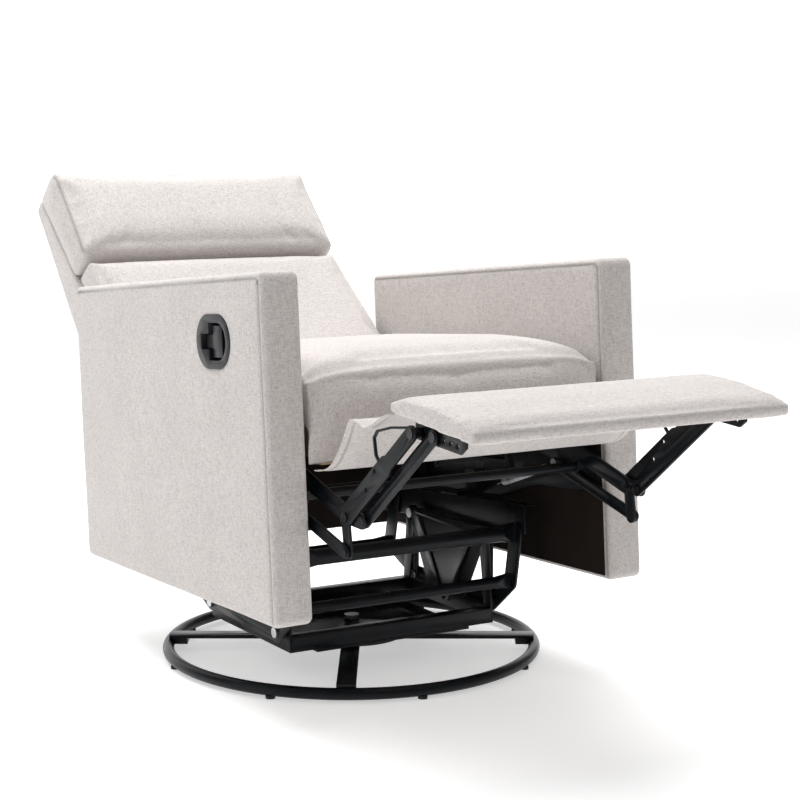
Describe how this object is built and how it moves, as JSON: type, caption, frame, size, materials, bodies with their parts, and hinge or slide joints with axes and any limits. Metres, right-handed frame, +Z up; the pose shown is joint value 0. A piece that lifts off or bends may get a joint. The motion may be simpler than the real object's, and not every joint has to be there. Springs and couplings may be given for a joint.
{
  "type": "swivel glider recliner",
  "caption": "Upholstered swivel glider recliner with square track arms, reclined back, separate head pillow, raised footrest on steel links and a round steel base.",
  "frame": {"origin": "on the floor under the swivel axis, which is also the middle of the chair's length and width", "axes": "+Z up, -Y the way the sitter faces, +X the sitter's left; the paddle arm is at -X"},
  "size_m": [0.694, 1.6116, 0.8269],
  "materials": {
    "powder_black": "satin black powder coat",
    "zinc_plate": "zinc plated, semi-bright",
    "linen_fabric": "pale greige linen-look polyester weave",
    "dark_lining": "dark non-woven lining cloth",
    "timber": "plain sawn timber and plywood",
    "black_plastic": "satin moulded",
    "foot_rubber": "matte"
  },
  "bodies": {
    "base": {"base_ring_front": "powder_black", "base_ring_rear": "powder_black", "ring_spigots": "powder_black", "foot_pads": "foot_rubber", "base_spokes": "powder_black", "hub_plate": "powder_black", "spoke_screws": "zinc_plate", "kingpin": "zinc_plate", "lower_race": "zinc_plate", "race_balls": "zinc_plate"},
    "turntable": {"upper_race": "zinc_plate", "turntable_plate": "powder_black", "glider_front_rail": "powder_black", "glider_rear_rail": "powder_black", "glider_stand_left": "powder_black", "glider_stand_right": "powder_black", "swing_top_pins": "zinc_plate"},
    "swing_front": {"swing_links_front": "powder_black"},
    "swing_rear": {"swing_links_rear": "powder_black"},
    "carriage": {"swing_foot_pins": "zinc_plate", "cradle_plate_left": "powder_black", "cradle_plate_right": "powder_black", "upper_cross_tube": "powder_black", "lower_cross_tube": "powder_black", "rear_cross_tubes": "powder_black", "mechanism_rails": "powder_black", "outriggers": "powder_black", "side_plate_left": "powder_black", "side_plate_right": "powder_black", "linkage_studs": "zinc_plate", "seat_wood_frame": "timber", "seat_springs": "zinc_plate", "seat_cushion": "linen_fabric", "arm_frame_left": "timber", "arm_frame_right": "timber", "arm_cover_left": "linen_fabric", "arm_cover_right": "linen_fabric", "arm_linings": "dark_lining", "arm_bolts": "zinc_plate", "rear_panel": "linen_fabric", "handle_bezel": "black_plastic", "release_cable": "black_plastic", "footrest_flap": "linen_fabric", "opening_springs": "zinc_plate"},
    "paddle": {"release_paddle": "black_plastic"},
    "latch": {"release_latch": "zinc_plate"},
    "drive": {"drive_links": "powder_black", "torque_bar": "powder_black", "knee_rivets": "zinc_plate"},
    "control": {"control_links": "powder_black"},
    "carrier": {"carrier_links": "powder_black"},
    "toe": {"toe_links": "powder_black"},
    "footrest": {"toe_rivets": "zinc_plate", "footrest_brackets": "powder_black", "footrest_board": "timber", "footrest_pad": "linen_fabric"},
    "back": {"back_frame": "timber", "back_shell": "linen_fabric", "back_cushion": "linen_fabric", "head_pillow": "linen_fabric"}
  },
  "joints": [
    {"name": "swivel", "type": "hinge", "parent": "base", "child": "turntable", "pos_m": [0, 0, 0.051], "axis": [0, 0, 1], "continuous": true},
    {"name": "glide", "type": "hinge", "parent": "turntable", "child": "swing_front", "pos_m": [0, -0.125, 0.206], "axis": [1, 0, 0], "range_deg": [-25, 12]},
    {"name": "rear_swing", "type": "hinge", "parent": "turntable", "child": "swing_rear", "pos_m": [0, 0.125, 0.206], "axis": [1, 0, 0], "range_deg": [-25, 12]},
    {"name": "cradle_swing", "type": "hinge", "parent": "swing_front", "child": "carriage", "pos_m": [0, -0.125, 0.088], "axis": [1, 0, 0], "range_deg": [-12, 25]},
    {"name": "footrest_fold", "type": "hinge", "parent": "carriage", "child": "drive", "pos_m": [0, -0.2171, 0.40642], "axis": [1, 0, 0], "range_deg": [0, 80.5], "deforming": ["footrest_flap", "opening_springs"]},
    {"name": "control_turn", "type": "hinge", "parent": "carriage", "child": "control", "pos_m": [0, -0.23507, 0.34634], "axis": [1, 0, 0], "range_deg": [0, 82.8]},
    {"name": "carrier_turn", "type": "hinge", "parent": "drive", "child": "carrier", "pos_m": [0, -0.44912, 0.34252], "axis": [1, 0, 0], "range_deg": [-90.6, 0]},
    {"name": "toe_turn", "type": "hinge", "parent": "drive", "child": "toe", "pos_m": [0, -0.48732, 0.34152], "axis": [1, 0, 0], "range_deg": [-90.6, 0]},
    {"name": "footrest_turn", "type": "hinge", "parent": "carrier", "child": "footrest", "pos_m": [0, -0.637, 0.49172], "axis": [1, 0, 0], "range_deg": [0, 90.6]},
    {"name": "back_recline", "type": "hinge", "parent": "carriage", "child": "back", "pos_m": [0, 0.38074, 0.4357], "axis": [1, 0, 0], "range_deg": [0, 25]},
    {"name": "paddle_pull", "type": "hinge", "parent": "carriage", "child": "paddle", "pos_m": [-0.335, -0.14851, 0.58067], "axis": [0, -0.0785, -0.9969], "range_deg": [0, 30], "stiffness_Nm_per_rad": 0.6},
    {"name": "latch_lift", "type": "hinge", "parent": "carriage", "child": "latch", "pos_m": [-0.27, -0.16347, 0.36518], "axis": [1, 0, 0], "range_deg": [-15, 0]}
  ],
  "couplings": [
    {"joint": "rear_swing", "follows": "glide", "ratio": 1},
    {"joint": "cradle_swing", "follows": "glide", "ratio": -1},
    {"joint": "control_turn", "follows": "footrest_fold", "ratio": 1.0273},
    {"joint": "carrier_turn", "follows": "footrest_fold", "ratio": -1.1242},
    {"joint": "toe_turn", "follows": "footrest_fold", "ratio": -1.1242},
    {"joint": "footrest_turn", "follows": "footrest_fold", "ratio": 1.1242},
    {"joint": "latch_lift", "follows": "paddle_pull", "ratio": -0.5}
  ]
}
